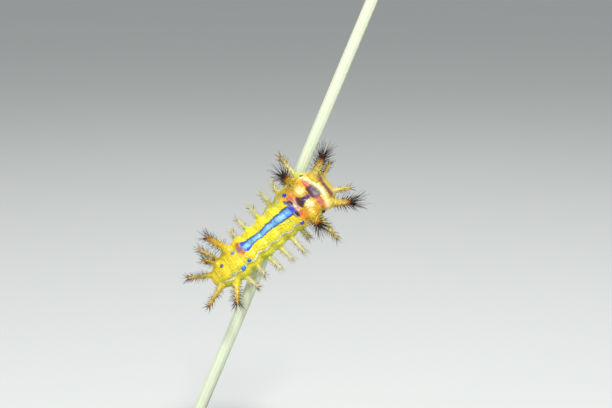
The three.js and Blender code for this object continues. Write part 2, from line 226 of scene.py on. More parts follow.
def off_the_stem(points):
    """Moves points inside the stem straight out to just off its surface, which makes the sole's groove."""
    along = (points - STEM_CROSSING) @ STEM_WAY
    spoke = points - STEM_CROSSING - along[..., None] * STEM_WAY
    distance = np.linalg.norm(spoke, axis=-1, keepdims=True)
    wanted = np.maximum(distance, STEM_RADIUS + STEM_CLEARANCE)
    return points + spoke / np.maximum(distance, 1e-6) * (wanted - distance)


def circle(sides):
    """Evenly spaced angles once round."""
    return np.linspace(0, 2 * np.pi, sides, endpoint=False)


def tube_faces(rows, columns):
    """Quads between rings of points, and triangles from the end rings to two poles numbered after them."""
    index = np.arange(rows * columns).reshape(rows, columns)
    after = np.roll(index, -1, axis=1)
    quads = np.stack([index[:-1], after[:-1], after[1:], index[1:]], axis=-1).reshape(-1, 4)
    low, high = rows * columns, rows * columns + 1
    start = np.stack([np.full(columns, low), after[0], index[0]], axis=-1)
    end = np.stack([np.full(columns, high), index[-1], after[-1]], axis=-1)
    return quads, np.vstack([start, end])


def closed_tube(name, grid, first_pole, last_pole, maps=None, values=None):
    """A closed mesh from rings of points, rows by columns, with a pole at each end; wound to face outwards.

    maps names UV maps and values names colour attributes; each holds arrays with one row per vertex, the
    rings first and then the two poles.
    """
    quads, caps = tube_faces(*grid.shape[:2])
    points = np.vstack([grid.reshape(-1, 3), first_pole, last_pole])
    return solid_mesh(name, points, quads.tolist() + caps.tolist(), maps, values)


def solid_mesh(name, points, faces, maps=None, values=None):
    """A mesh object from specimen-frame points and faces, turned outwards if its volume is negative."""
    points = np.asarray(points, float)
    mesh = bpy.data.meshes.new(name)
    mesh.from_pydata(placed(points).tolist(), [], faces)
    mesh.calc_loop_triangles()
    corners = np.empty(3 * len(mesh.loop_triangles), np.int32)
    mesh.loop_triangles.foreach_get("vertices", corners)
    first, second, third = np.moveaxis((points - points.mean(axis=0))[corners.reshape(-1, 3)], 1, 0)
    if np.einsum("ij,ij->", np.cross(first, second), third) < 0:
        mesh.flip_normals()
    loops = np.empty(len(mesh.loops), np.int32)
    mesh.loops.foreach_get("vertex_index", loops)
    for map_name, places in (maps or {}).items():
        layer = mesh.uv_layers.new(name=map_name)
        layer.data.foreach_set("uv", np.asarray(places, np.float32)[loops].ravel())
    for value_name, colours in (values or {}).items():
        layer = mesh.color_attributes.new(name=value_name, type="FLOAT_COLOR", domain="POINT")
        opaque = np.column_stack([colours, np.ones(len(colours))])
        layer.data.foreach_set("color", opaque.astype(np.float32).ravel())
    mesh.polygons.foreach_set("use_smooth", np.ones(len(mesh.polygons), bool))
    mesh.update()
    piece = bpy.data.objects.new(name, mesh)
    bpy.context.scene.collection.objects.link(piece)
    return piece


def linear(red, green, blue):
    """A screen colour, 0 to 255, as linear light."""
    screen = np.array([red, green, blue]) / 255
    return np.where(screen <= 0.04045, screen / 12.92, ((screen + 0.055) / 1.055) ** 2.4)


# Pigments of the skin
YELLOW = linear(240, 222, 22)
BACK_YELLOW = linear(246, 230, 18)
FLANK_GREEN = linear(206, 214, 66)
SOLE_GREEN = linear(206, 214, 128)
CREAM = linear(248, 240, 176)
ORANGE = linear(240, 146, 20)
DEEP_ORANGE = linear(222, 104, 24)
SALMON = linear(226, 118, 96)
MAROON = linear(104, 8, 24)
PURPLE_GREY = linear(112, 84, 122)
DARK_PURPLE = linear(56, 24, 60)
DARK_MAROON = linear(76, 16, 40)
DEEP_VIOLET = linear(74, 56, 138)
LAVENDER = linear(196, 176, 214)
SLATE = linear(96, 104, 128)
NAVY = linear(8, 16, 84)
STRIPE_BLUE = linear(64, 146, 244)
STRIPE_PALE = linear(152, 214, 252)
DEEP_BLUE = linear(22, 78, 226)
PALE_LINE = linear(250, 252, 236)
LINE_SHADE = linear(96, 128, 40)
BROWN = linear(128, 76, 80)
WHITE = linear(250, 248, 236)
AMBER = linear(248, 168, 34)
BURNT = linear(226, 112, 66)
UMBER = linear(54, 16, 24)
VIOLET_BLUE = linear(58, 62, 214)
ASH = linear(172, 152, 178)
MAUVE = linear(158, 104, 118)
ROSE = linear(218, 176, 204)
TAN = linear(226, 198, 86)


def spread_over(colours, tint, mask):
    """Lays a tint over colours by a mask from 0 to 1."""
    return colours + (tint - colours) * np.clip(mask, 0, 1)[..., None]


def ripple(station, degrees, pitch, phase):
    """Irregular wave from two sines at unlike pitches, between -1 and 1."""
    first = np.sin(2 * np.pi * station / pitch + phase + degrees / 31)
    return 0.6 * first + 0.4 * np.sin(2 * np.pi * station / (pitch * 0.61) + 2.3 * phase - degrees / 17)


# Half width of the stripe with its dark outline, and its middle in degrees, by station
STRIPE_HALF_WIDTH = [[9.2, 0.75], [10.4, 1.2], [11.5, 0.84], [12.9, 0.64], [14.2, 0.7], [15.3, 0.62],
                     [16.5, 0.74], [18.1, 0.82], [19.5, 0.84], [21.0, 1.0], [22.0, 0.84], [22.7, 0.6]]
STRIPE_MIDDLE = [[9.5, 6], [12, 5], [15.3, 4], [17, 1.5], [19, -1], [22, 0]]
STRIPE_ENDS = (9.5, 22.5)
STRIPE_END_SOFTNESS = 0.3
STRIPE_OUTLINE = 0.2
STRIPE_WOBBLE = 0.05
# The paler beads along the stripe: station of one, and their pitch; and the deep blue blot at its rear end
BEAD_STATION, BEAD_PITCH = 13.7, SEGMENT_LENGTH * 0.9
BLOT_STATION, BLOT_LENGTH = 10.4, 0.95
# Marks of the thorax and the rear: station, angle, half length, half width, colour, edge softness
MARKS = [
    (24.0, -31, 1.1, 1.0, AMBER, 0.6), (23.5, 31, 1.1, 1.1, AMBER, 0.6),
    (23.55, -21, 0.6, 0.8, BURNT, 0.4), (23.1, 17, 0.7, 0.7, BURNT, 0.4),
    (22.45, -22, 0.42, 0.5, SLATE, 0.2), (23.0, -13, 0.58, 0.66, UMBER, 0.2),
    (22.5, 13, 0.58, 0.8, UMBER, 0.2), (22.25, 14, 0.1, 0.55, LAVENDER, 0.12),
    (22.55, -1, 0.55, 0.72, VIOLET_BLUE, 0.35),
    (24.6, 0, 0.72, 0.74, UMBER, 0.25), (24.8, -7, 0.5, 0.5, MAROON, 0.3),
    (25.5, -0.5, 0.9, 0.4, DARK_PURPLE, 0.2), (26.55, 1, 0.55, 0.3, DEEP_VIOLET, 0.25),
    (28.15, 0, 1.12, 1.4, DARK_MAROON, 0.3), (28.1, -14, 0.5, 0.6, MAROON, 0.4),
    (28.35, 3, 0.72, 0.95, PURPLE_GREY, 0.5),
    (29.05, 1, 0.2, 0.95, DARK_PURPLE, 0.3), (28.2, 4, 0.32, 0.4, ASH, 0.4),
    (28.3, -27, 0.62, 0.85, SALMON, 0.5), (27.9, 29, 0.62, 1.25, SALMON, 0.5),
    (9.2, -13, 0.5, 0.6, DEEP_ORANGE, 0.5), (8.8, 1, 0.62, 0.8, MAUVE, 0.45), (9.0, 16, 0.5, 0.5, BURNT, 0.5),
    (10.0, -8, 0.4, 0.5, VIOLET_BLUE, 0.4),
]
MARK_WOBBLE = 0.16
ROSE_LINE = [[-18, 24.15], [-8, 24.0], [0, 23.75], [12, 23.3]]
LOBES = [(26.3, -20, 0.95, 0.8), (25.9, 17, 1.1, 0.9)]
PALE_LINE_ANGLE = [[2, 66], [6, 60], [9.6, 57], [13, 54], [16, 52], [19, 49], [22.5, 50]]
PALE_LINE_ENDS = (1.2, 23.0)
RIDGE_ANGLE = [[2, 84], [8, 76], [14, 71], [19, 68], [24, 66], [30, 74]]
RIDGE_START = 1.0
# Station of a crest of the flank's wave, and how many degrees the pale line and the ridge swing with it
FLANK_WAVE_FROM = 16.25
LINE_SWING, RIDGE_SWING = 4.6, 3.4
# Stations where the orange of the rear ends and that of the thorax begins
REAR_ORANGE_END = 9.2
THORAX_START = 22.2
# The pale collar bows back at the sides; before it, a slanting brown band crosses the hood
COLLAR, COLLAR_BOW = 29.75, 0.0005
HOOD_BAND, HOOD_BAND_SLANT, HOOD_BAND_MIDDLE = 31.05, 0.011, 6
HOOD_SPOTS = ((32.4, -46), (31.7, 54))


def pigment(station, degrees):
    """Colour of the skin: greens and yellows by angle, then lines, stripe and marks, each over the last.

    Each layer is a tint and a mask, made of soft edges and bell-shaped bumps over stations and angles.
    """
    across = degrees * MM_PER_DEGREE
    turn = np.abs(degrees)
    wave = ripple(station, degrees, 2.7, 0.4)
    furrow = bell(np.mod(station / SEGMENT_LENGTH, 1) - 0.5, 0.09)
    rear = edge(station - REAR_ORANGE_END, 1.6)
    thorax = edge(THORAX_START - station, 1.2) * edge(turn - 78, 30)
    layers = [
        (BACK_YELLOW, bell(turn - 25, 30)),
        (FLANK_GREEN, edge(74 - turn + 4 * wave, 26) * 0.85),
        (SOLE_GREEN, edge(118 - turn, 30)),
        (FLANK_GREEN, furrow * 0.35 * edge(turn - 120, 20)),
        (ORANGE, rear * 0.26 * (0.6 + 0.4 * ripple(station, degrees * 3, 1.9, 1.7))),
        (ORANGE, thorax * (0.55 + 0.25 * ripple(station, degrees, 2.2, 0.9))),
    ]
    flank_wave = np.cos(2 * np.pi * (station - FLANK_WAVE_FROM) / SEGMENT_LENGTH)
    line = turn - eased(PALE_LINE_ANGLE, station) - LINE_SWING * flank_wave
    on_flank = edge(station - PALE_LINE_ENDS[1], 1.2) * edge(PALE_LINE_ENDS[0] - station, 0.8)
    ridge = turn - eased(RIDGE_ANGLE, station) - RIDGE_SWING * flank_wave
    layers += [
        (LINE_SHADE, bell(line - 1.5, 5.6) * on_flank * 0.5),
        (PALE_LINE, 1.2 * bell(line, 3.2) * on_flank),
        (BACK_YELLOW, bell(ridge, 3.0) * edge(RIDGE_START - station, 1.0)),
    ]
    off = np.abs(across - eased(STRIPE_MIDDLE, station) * MM_PER_DEGREE)
    off = off + STRIPE_WOBBLE * ripple(station, degrees, 1.3, 0.2)
    half = eased(STRIPE_HALF_WIDTH, station)
    on_back = (edge(STRIPE_ENDS[0] - station, STRIPE_END_SOFTNESS)
               * edge(station - STRIPE_ENDS[1], STRIPE_END_SOFTNESS))
    beads = 0.5 + 0.5 * np.cos(2 * np.pi * (station - BEAD_STATION) / BEAD_PITCH)
    pale = edge(off - half * (0.30 + 0.16 * beads), 0.42) * (0.55 + 0.4 * beads)
    blot = bell(station - BLOT_STATION, BLOT_LENGTH) * edge(0.55 - off, 0.4) * edge(off - half, 0.2)
    layers += [
        (NAVY, edge(off - half, 0.12) * on_back),
        (DEEP_BLUE, edge(off - half + STRIPE_OUTLINE, 0.2) * on_back),
        (STRIPE_BLUE, edge(off - half * 0.66, 0.3) * on_back),
        (STRIPE_PALE, pale * on_back * (1 - bell(station - 22.4, 0.8))),
        (DEEP_BLUE, blot * 0.95 * on_back),
    ]
    for place, side, length, width, tint, soft in MARKS:
        reach = np.hypot((station - place) / length, (across - side * MM_PER_DEGREE) / width)
        wobble = MARK_WOBBLE * ripple(station * 2.3, degrees * 2.1, 2.1, place)
        layers.append((tint, edge((reach - 1 + wobble) * min(length, width), soft)))
    for place, side, length, width in LOBES:
        reach = np.hypot((station - place) / length, (across - side * MM_PER_DEGREE) / width)
        layers.append((CREAM, edge(reach - 0.9, 0.5) * 0.9))
    streak = station - eased(ROSE_LINE, degrees)
    bow = station + COLLAR_BOW * degrees**2
    band = station - HOOD_BAND + HOOD_BAND_SLANT * degrees
    layers += [
        (ROSE, bell(streak, 0.24) * edge(np.abs(degrees + 3) - 14, 5)),
        (CREAM, bell(bow - COLLAR, 0.62) * edge(turn - 66, 18)),
        # A white streak along the middle of the collar's crest is a painted highlight
        (WHITE, bell(bow - COLLAR - 0.05, 0.3) * bell(degrees - 5, 26) * 0.8),
        (BACK_YELLOW, bell(bow - COLLAR - 0.65, 0.2) * edge(turn - 60, 12)),
        (TAN, edge(COLLAR + 1.15 - bow, 0.5) * edge(turn - 80, 20)),
        (BROWN, bell(band, 0.6) * edge(np.abs(degrees - HOOD_BAND_MIDDLE) - 44, 12)),
        (DARK_PURPLE, bell(band, 0.3) * bell(degrees - HOOD_BAND_MIDDLE, 16) * 0.4),
    ]
    for place, side in HOOD_SPOTS:
        reach = np.hypot(station - place, across - side * MM_PER_DEGREE)
        layers.append((WHITE, edge(reach - 0.55, 0.4)))
    colours = np.broadcast_to(YELLOW, station.shape + (3,))
    for tint, mask in layers:
        colours = spread_over(colours, tint, mask)
    return colours


turn = np.linspace(-1, 1, POINTS_AROUND, endpoint=False)
skin_degrees = 180 * (turn - BACK_DENSITY * np.sin(np.pi * turn) / np.pi)
sweep = np.linspace(0, np.pi, RINGS_ALONG + 2)[1:-1]
skin_stations = BODY_LENGTH * (1 - np.cos(sweep)) / 2
station_grid, degree_grid = np.meshgrid(skin_stations, skin_degrees, indexing="ij")
skin_grid = off_the_stem(skin_point(station_grid, degree_grid, skin_relief(station_grid, degree_grid)))
tail_pole = axes_at(0.0)[0]
front_pole = axes_at(BODY_LENGTH)[0] - AHEAD * front_hollow(BODY_LENGTH, 0.0)
all_stations = np.concatenate([station_grid.ravel(), [0.0, BODY_LENGTH]])
all_degrees = np.concatenate([degree_grid.ravel(), [0.0, 0.0]])
skin_map = np.column_stack([all_stations / BODY_LENGTH, all_degrees / 360 + 0.5])
skin = closed_tube(
    "body_skin", skin_grid, tail_pole, front_pole,
    maps={"body_map": skin_map}, values={"pigment": pigment(all_stations, all_degrees)},
)


class Socket:
    """One output of a shader node, so that sums on it add Math nodes."""

    def __init__(self, finish, output):
        self.finish = finish
        self.output = output

    def maths(self, operation, *others):
        values = {index: other for index, other in enumerate((self, *others))}
        return self.finish.add("ShaderNodeMath", {"operation": operation}, values)

    def __add__(self, other):
        return self.maths("ADD", other)

    def __mul__(self, other):
        return self.maths("MULTIPLY", other)

    def __sub__(self, other):
        return self.maths("SUBTRACT", other)

    def __rsub__(self, other):
        return self * -1.0 + other

    __radd__ = __add__
    __rmul__ = __mul__


class Finish:
    """A material with one Principled surface, and one method that adds every other node."""

    def __init__(self, name, **surface):
        self.material = bpy.data.materials.new(name)
        self.material.use_nodes = True
        self.tree = self.material.node_tree
        self.surface = self.tree.nodes["Principled BSDF"]
        for socket, value in surface.items():
            self.surface.inputs[socket.replace("_", " ")].default_value = value

    def add(self, kind, settings=None, values=None, output=0):
        """Adds a node, sets it up, gives its sockets their values or links, and returns one output."""
        node = self.tree.nodes.new(kind)
        for key, value in (settings or {}).items():
            if key == "stops":
                ramp = node.color_ramp
                ramp.elements[0].position, ramp.elements[0].color = value[0]
                ramp.elements[1].position, ramp.elements[1].color = value[-1]
                for place, colour in value[1:-1]:
                    ramp.elements.new(place).color = colour
            else:
                setattr(node, key, value)
        for key, value in (values or {}).items():
            self.put(node.inputs[key], value)
        return Socket(self, node.outputs[output])

    def put(self, entry, value):
        if isinstance(value, Socket):
            self.tree.links.new(value.output, entry)
        else:
            entry.default_value = value

    def attribute(self, name):
        return self.add("ShaderNodeVertexColor", {"layer_name": name})

    def places(self):
        return self.add("ShaderNodeTexCoord", output="Object")

    def noise(self, scale, detail=3.0, roughness=0.55):
        values = {"Vector": self.places(), "Scale": scale, "Detail": detail, "Roughness": roughness}
        return self.add("ShaderNodeTexNoise", values=values)

    def mix(self, factor, first, second, blend="MIX"):
        settings = {"data_type": "RGBA", "blend_type": blend}
        return self.add("ShaderNodeMix", settings, {0: factor, 6: first, 7: second}, output=2)

    def between(self, value, low, high):
        """A 0 to 1 value moved to run from low to high."""
        return self.add("ShaderNodeMapRange", values={"Value": value, "To Min": low, "To Max": high})

    def steeper(self, value, low, high):
        """0 where a value is at low and 1 where it is at high, eased between them and held beyond."""
        values = {"Value": value, "From Min": low, "From Max": high}
        return self.add("ShaderNodeMapRange", {"interpolation_type": "SMOOTHSTEP"}, values)

    def grained(self, noise, first, second, low, high):
        """Colour that runs from one to the other with a noise, and roughness that runs from low to high."""
        self.feed("Base Color", self.mix(noise, first, second))
        self.feed("Roughness", self.between(noise, low, high))

    def bumps(self, height, distance, strength=1.0):
        values = {"Height": height, "Distance": distance, "Strength": strength}
        self.put(self.surface.inputs["Normal"], self.add("ShaderNodeBump", values=values))

    def feed(self, socket, value):
        self.put(self.surface.inputs[socket], value)


skin_finish = Finish(
    "moist_skin", Subsurface_Weight=0.22, Subsurface_Radius=(0.9, 0.7, 0.25), Subsurface_Scale=0.0004,
    Coat_Roughness=0.14, Specular_IOR_Level=0.5,
)
mottle = skin_finish.noise(1100.0, 4.0, 0.6)
patches = skin_finish.noise(420.0, 2.0, 0.5)
grain = skin_finish.noise(4200.0, 2.0, 0.5)
granules = skin_finish.add("ShaderNodeTexVoronoi", {"feature": "SMOOTH_F1"},
                           {"Vector": skin_finish.places(), "Scale": 2600.0, "Smoothness": 0.6})
painted = skin_finish.attribute("pigment")
shadow = skin_finish.mix(1.0, painted, (0.70, 0.66, 0.30, 1.0), "MULTIPLY")
glow = skin_finish.mix(0.7, painted, (1.0, 1.0, 1.0, 1.0), "SOFT_LIGHT")
warm = skin_finish.mix(skin_finish.steeper(patches, 0.50, 0.72), painted, glow)
skin_finish.feed("Base Color", skin_finish.mix(skin_finish.steeper(mottle, 0.62, 0.36) * 0.6, warm, shadow))
skin_finish.feed("Roughness", skin_finish.between(mottle, 0.26, 0.5))
skin_finish.feed("Coat Weight", skin_finish.between(grain, 0.25, 0.6))
skin_finish.bumps(mottle * 0.5 + grain * 0.15 - granules * 0.5, 0.00022, 0.8)
skin.data.materials.append(skin_finish.material)
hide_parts("thorax", "abdomen_front", "abdomen_middle", "abdomen_rear")
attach(skin, "root")

# Raised dots: small glossy blue warts in pairs behind the thorax, at its sides and on the rear of the back.
# Each is a swelling of the skin, sunk a third of its radius into it. The table gives station, degrees, radius
# and colour.
DOTS = [
    (23.3, -44, 0.52, linear(10, 70, 224)), (22.1, 48, 0.52, linear(6, 84, 206)),
    (28.6, -60, 0.40, linear(38, 128, 150)), (26.9, 84, 0.56, linear(14, 50, 140)),
    (7.3, -2, 0.44, linear(126, 146, 222)), (8.9, 49, 0.42, linear(24, 108, 226)),
    (3.9, 1, 0.47, linear(104, 100, 140)), (6.9, 61, 0.60, linear(28, 150, 246)),
    (4.4, 55, 0.40, linear(196, 218, 128)),
]
DOT_SINK = 0.35
DOT_RINGS = 20
DOT_SIDES = 32


def repeated(faces, count, size):
    """Faces of one piece, given for each of many alike, whose points follow one another size at a time."""
    return (faces + size * np.arange(count)[:, None, None]).reshape(-1, faces.shape[-1]).tolist()


theta, phi = np.meshgrid(np.linspace(0, np.pi, DOT_RINGS)[1:-1], circle(DOT_SIDES), indexing="ij")
ball = np.stack([np.sin(theta) * np.cos(phi), np.sin(theta) * np.sin(phi), np.cos(theta)], axis=-1)
ball = np.vstack([ball.reshape(-1, 3), [0.0, 0.0, 1.0], [0.0, 0.0, -1.0]])
dot_middles = np.array([skin_point(place, side, -radius * DOT_SINK) for place, side, radius, _ in DOTS])
dot_radii = np.array([radius for _, _, radius, _ in DOTS])
dot_points = dot_middles[:, None] + dot_radii[:, None, None] * ball
dot_faces = [face for part in tube_faces(DOT_RINGS - 2, DOT_SIDES)
             for face in repeated(part, len(DOTS), len(ball))]
dots = solid_mesh("raised_dots", dot_points.reshape(-1, 3), dot_faces,
                  values={"pigment": np.repeat([tint for *_, tint in DOTS], len(ball), axis=0)})
dot_finish = Finish("dot_skin", Subsurface_Weight=0.1, Subsurface_Radius=(0.3, 0.5, 0.9),
                    Subsurface_Scale=0.0004, Coat_Weight=0.6, Coat_Roughness=0.08)
dot_finish.feed("Base Color", dot_finish.mix(dot_finish.between(dot_finish.noise(3000.0), -0.3, 0.9),
                                             dot_finish.attribute("pigment"), (0.02, 0.03, 0.10, 1.0)))
dot_finish.feed("Roughness", dot_finish.between(dot_finish.noise(2000.0), 0.22, 0.4))
dots.data.materials.append(dot_finish.material)
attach(dots, "root")

# Scoli: soft fleshy horns that grow out of the skin and carry the stinging spines. Four on the thorax are
# yellow with near-black tips, those of the tail are yellow to amber and those of the sides pale. Each is a
# tapered shaft that flares into the skin, with low warts on it.

# Station, degrees from the back, lean towards the head in degrees, length, radius at the root, and kind
SCOLI = {
    "scolus_front_left_upper": (30.9, -46, 58, 4.9, 1.15, "horn"),
    "scolus_front_right_upper": (28.9, 60, 45, 5.6, 1.1, "horn"),
    "scolus_front_left_lower": (32.45, -66, 70, 3.2, 0.55, "front"),
    "scolus_front_right_lower": (31.9, 80, 57, 3.4, 0.55, "front"),
    "scolus_second_left_upper": (26.1, -43, -3, 4.8, 1.2, "horn"),
    "scolus_second_right_upper": (24.7, 45, -6, 3.9, 1.2, "horn"),
    "scolus_second_left_lower": (27.6, -91, 8, 5.2, 0.6, "long"),
    "scolus_second_right_lower": (25.6, 90, -6, 5.9, 0.6, "long"),
    "scolus_left_1": (22.7, -92, 13, 2.5, 0.5, "side"),
    "scolus_left_2": (19.8, -88, 7, 3.0, 0.5, "side"),
    "scolus_left_3": (16.2, -88, 4, 3.3, 0.5, "side"),
    "scolus_left_4": (12.8, -88, -4, 3.2, 0.5, "side"),
    "scolus_left_5": (9.7, -90, 6, 2.6, 0.5, "side"),
    "scolus_left_6": (6.6, -88, -8, 3.0, 0.5, "side"),
    "scolus_right_1": (21.0, 93, -3, 2.4, 0.5, "side"),
    "scolus_right_2": (18.3, 88, 0, 4.2, 0.5, "side"),
    "scolus_right_3": (15.2, 93, 4, 3.6, 0.5, "side"),
    "scolus_right_4": (12.2, 94, 2, 3.8, 0.5, "side"),
    "scolus_right_5": (9.2, 90, -3, 2.8, 0.5, "side"),
    "scolus_right_6": (6.0, 96, 7, 3.8, 0.5, "side"),
    "scolus_rear_left_upper": (6.9, -24, -11, 5.8, 0.95, "rear_horn"),
    "scolus_rear_left_lower": (3.7, -62, -14, 4.6, 0.7, "rear"),
    "scolus_tail_left_upper": (3.2, -20, -23, 3.2, 0.6, "rear"),
    "scolus_tail_left_lower": (0.8, -45, -53, 5.0, 0.6, "rear"),
    "scolus_tail_right_lower": (0.9, 80, -68, 5.1, 0.65, "rear"),
    "scolus_rear_right_upper": (3.4, 96, -34, 4.6, 0.85, "rear_horn"),
}
# Each kind: share of the root's width left at the tip, its colours from foot to tip by share of its length,
# and a slot name
KINDS = {
    "horn": (0.42, [(0.0, linear(236, 196, 30)), (0.3, linear(214, 190, 24)), (0.7, linear(232, 176, 22)),
                    (0.82, linear(196, 104, 20)), (0.88, linear(84, 16, 16)), (1.0, linear(26, 8, 12))],
             "horn"),
    "rear_horn": (0.42, [(0.0, YELLOW), (0.4, linear(232, 198, 28)), (0.8, linear(236, 176, 30)),
                         (1.0, linear(214, 136, 44))], "horn"),
    "long": (0.5, [(0.0, FLANK_GREEN), (0.3, CREAM), (0.6, linear(214, 196, 60)), (0.9, linear(224, 190, 48)),
                   (1.0, linear(232, 196, 90))], "side_scolus"),
    "front": (0.55, [(0.0, CREAM), (0.3, linear(222, 206, 60)), (0.8, linear(228, 196, 44)),
                     (1.0, linear(206, 150, 40))], "side_scolus"),
    "side": (0.6, [(0.0, FLANK_GREEN), (0.35, linear(222, 220, 150)), (0.8, linear(234, 230, 186)),
                   (1.0, linear(236, 216, 164))], "side_scolus"),
    "rear": (0.5, [(0.0, linear(226, 196, 36)), (0.5, linear(206, 176, 40)), (0.85, linear(226, 180, 40)),
                   (1.0, linear(230, 160, 60))], "tail_scolus"),
}
# Depth of the root below the skin, the taper's power, and the foot's flare: height, start and fading by share
SHAFT_ROOT = 0.8
SHAFT_TAPER = 0.8
SHAFT_FLARE, FLARE_START, FLARE_FADING = 0.36, 0.06, 13
SHAFT_RINGS = 40
SHAFT_SIDES = 30
# The rounded tip: the share where it starts, its height, the height where it would close, its rings and their
# angles
DOME_START, DOME_HEIGHT, DOME_CLOSE, DOME_RINGS, DOME_ANGLES = 0.93, 0.07, 0.0705, 7, (0.2, 1.45)
# Warts: height, how many along, how many round, their twist
WARTS = (0.07, 26, 5, 14)
# Cream dashes painted as a highlight where a shaft faces out of the back: how squarely, middle and half
# length of their zone, their pace, their strength on long and short shafts, and the length that parts these
HIGHLIGHT_FACING, DASH_MIDDLE, DASH_ZONE, DASH_PACE = 0.80, 0.38, 0.34, 7
DASH_STRENGTHS, LONG_SHAFT = (0.75, 0.3), 3.9
scolus_finish = Finish("scolus_skin", Subsurface_Weight=0.25, Subsurface_Radius=(0.9, 0.7, 0.25),
                       Subsurface_Scale=0.0004, Coat_Roughness=0.15)
scolus_mottle = scolus_finish.noise(1800.0, 3.0)
painted = scolus_finish.attribute("pigment")
shadow = scolus_finish.mix(0.5, painted, (0.80, 0.66, 0.40, 1.0), "MULTIPLY")
scolus_finish.feed("Base Color", scolus_finish.mix(scolus_finish.between(scolus_mottle, -0.4, 1.2),
                                                   shadow, painted))
scolus_finish.feed("Roughness", scolus_finish.between(scolus_mottle, 0.32, 0.55))
scolus_finish.feed("Coat Weight", scolus_finish.between(scolus_mottle, 0.15, 0.4))
scolus_finish.bumps(1.0 - scolus_mottle, 0.00008, 0.6)


def unit(vectors):
    """Vectors brought to a length of 1."""
    return vectors / np.linalg.norm(vectors, axis=-1, keepdims=True)


def shaft_frame(station, degrees, lean):
    """Foot of a shaft on the skin, its way out (the skin's, leaned towards the head), and two side ways."""
    _, right, back = axes_at(station)
    angle, tilt = math.radians(degrees), math.radians(lean)
    outwards = right * math.sin(angle) + back * math.cos(angle)
    way = outwards * math.cos(tilt) + AHEAD * math.sin(tilt)
    first = unit(np.cross([0.0, 0.0, 1.0], way))
    return skin_point(station, degrees), way, first, np.cross(way, first)


def shaft_width(share, radius, tip_share):
    """Half width of a shaft: an even taper that eases off, with a flare at the foot."""
    taper = 1 + (tip_share - 1) * np.clip(share, 0, 1) ** SHAFT_TAPER
    return radius * (taper + SHAFT_FLARE * np.exp(-np.clip(share + FLARE_START, 0, None) * FLARE_FADING))


for number, (name, (station, degrees, lean, length, radius, kind)) in enumerate(SCOLI.items()):
    tip_share, colours, slot = KINDS[kind]
    foot, way, first, second = shaft_frame(station, degrees, lean)
    straight = np.linspace(-SHAFT_ROOT / length, DOME_START, SHAFT_RINGS)
    rise = DOME_HEIGHT * np.sin(np.linspace(*DOME_ANGLES, DOME_RINGS))
    shares = np.concatenate([straight, DOME_START + rise])
    widths = shaft_width(shares, radius, tip_share)
    widths[SHAFT_RINGS:] *= np.sqrt(1 - (rise / DOME_CLOSE) ** 2)
    share_grid, around_grid = np.meshgrid(shares, circle(SHAFT_SIDES), indexing="ij")
    height, along, round_it, twist = WARTS
    warts = np.sin(share_grid * along + number) * np.sin(around_grid * round_it + share_grid * twist + number)
    spokes = first * np.cos(around_grid)[..., None] + second * np.sin(around_grid)[..., None]
    rings = foot + way * (share_grid * length)[..., None]
    rings = rings + spokes * (widths[:, None] * (1 + height * warts))[..., None]
    every_share = np.concatenate([share_grid.ravel(), [shares[0], 1.0]])
    stops, tints = [np.array(column) for column in zip(*colours)]
    shade = np.column_stack([np.interp(every_share, stops, tints[:, channel]) for channel in range(3)])
    _, right, back = axes_at(station)
    # Cream dashes painted as a highlight on the side of each shaft that faces out of the back
    facing = np.append((spokes @ back).ravel(), [0.0, 0.0])
    highlight_dashes = 0.55 + 0.45 * np.cos(every_share * length * DASH_PACE + number)
    highlight_dashes = (highlight_dashes * edge(HIGHLIGHT_FACING - facing, 0.25)
              * edge(np.abs(every_share - DASH_MIDDLE) - DASH_ZONE, 0.15))
    shade = spread_over(shade, CREAM, highlight_dashes * DASH_STRENGTHS[0 if length > LONG_SHAFT else 1])
    # The foot takes the skin's colours at each of its points, so that the marks run on up the shaft
    sideways = right * math.cos(math.radians(degrees)) - back * math.sin(math.radians(degrees))
    reach = np.vstack([rings.reshape(-1, 3), foot, foot]) - foot
    own = pigment(station + reach @ AHEAD, degrees + reach @ sideways / MM_PER_DEGREE)
    shade = spread_over(shade, own, edge(every_share - 0.1, 0.2))
    scolus = closed_tube(name + "_shaft", rings, foot + way * shares[0] * length, foot + way * length,
                         values={"pigment": shade})
    scolus.data.materials.append(scolus_finish.material)
    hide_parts(name)
    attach(scolus, "root")

# Spines: hollow stinging bristles, thin and stiff, that stand round each scolus on a spiral. Those of the
# horns are black and longest at the tip; those of the sides are short, pale and glassy, with a few dark ones.
SPINE_TURN = 137.5
# Each kind: how many, length at the foot and the tip, tilt from the shaft there in degrees, share of dark
# ones, and how they gather (1 is even, less draws them to the tip)
SPINE_SETS = {
    "horn": (116, (1.1, 3.6), (84, 22), 0.97, 0.75),
    "rear_horn": (120, (1.2, 2.2), (84, 30), 0.62, 1.0),
    "long": (92, (0.9, 1.6), (82, 28), 0.42, 1.0),
    "front": (60, (0.7, 1.4), (80, 28), 0.32, 1.0),
    "side": (84, (0.7, 1.4), (84, 24), 0.12, 1.0),
    "rear": (92, (1.0, 1.6), (84, 30), 0.48, 1.0),
}
# Radius at the root, what the taper takes off it by the tip, sides, rings, and the share where the last ring
# stands
SPINE_RADIUS, SPINE_TAPER = 0.066, 0.78
SPINE_SIDES, SPINE_RINGS, LAST_RING = 5, 4, 0.94
# Where the spines stand, by share of the shaft: the first, and how far the others reach on
SPINE_ZONE = (0.12, 0.87)
SPINE_SINK = 0.7
# Random play of the turn and the tilt in degrees, of the length as a share, and of the bend along and across
TURN_PLAY, TILT_PLAY, LENGTH_PLAY = 16, 9, (0.7, 1.1)
BEND_ALONG, BEND_ACROSS = (-0.05, 0.12), 0.06
# Powers by which tilt and length change along the shaft, and what the shaft's width adds to the length
TILT_EASE, LENGTH_EASE, LENGTH_BY_WIDTH = 1.6, 2.2, 0.3
# The chance of a dark spine at the foot, and what it gains up to the tip, as shares of the kind's
DARK_AT_FOOT, DARK_GAIN = 0.55, 0.75
